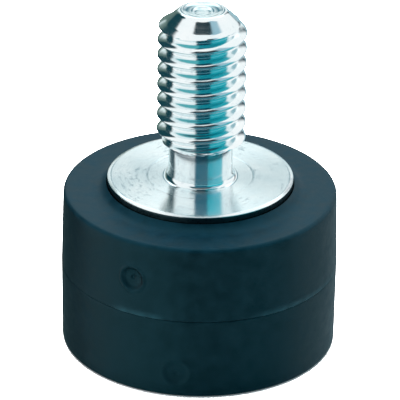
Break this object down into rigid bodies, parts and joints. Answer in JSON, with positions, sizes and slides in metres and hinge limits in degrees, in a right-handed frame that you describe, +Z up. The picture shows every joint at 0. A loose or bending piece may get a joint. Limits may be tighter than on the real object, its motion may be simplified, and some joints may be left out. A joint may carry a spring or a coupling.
{
  "type": "furniture leveling foot",
  "caption": "Round black elastomer foot with a flange plate and a threaded steel stud for leveling furniture.",
  "frame": {"origin": "centre of the sole's floor face, under the stud's axis", "axes": "+Z up along the stud's axis, towards its tip; -Y towards the side with the moulding marks"},
  "size_m": [0.0244, 0.0244, 0.0314],
  "materials": {
    "zinc_steel": "bright zinc plating with a faint blue passivation, turning marks on the flange",
    "plain_steel": "plain stamped steel, inside the elastomer",
    "black_elastomer": "matte moulded elastomer with a slight mottle"
  },
  "bodies": {
    "sole": {"lower_body": "black_elastomer"},
    "stud_and_body": {"threaded_stud": "zinc_steel", "flange_plate": "zinc_steel", "anchor_washer": "plain_steel", "upper_body": "black_elastomer"}
  },
  "joints": [
    {"name": "sole_compression", "type": "slide", "parent": "sole", "child": "stud_and_body", "axis": [0, 0, -1], "range_m": [0, 0.0012], "stiffness_N_per_m": 1500, "deforming": ["lower_body"]}
  ]
}
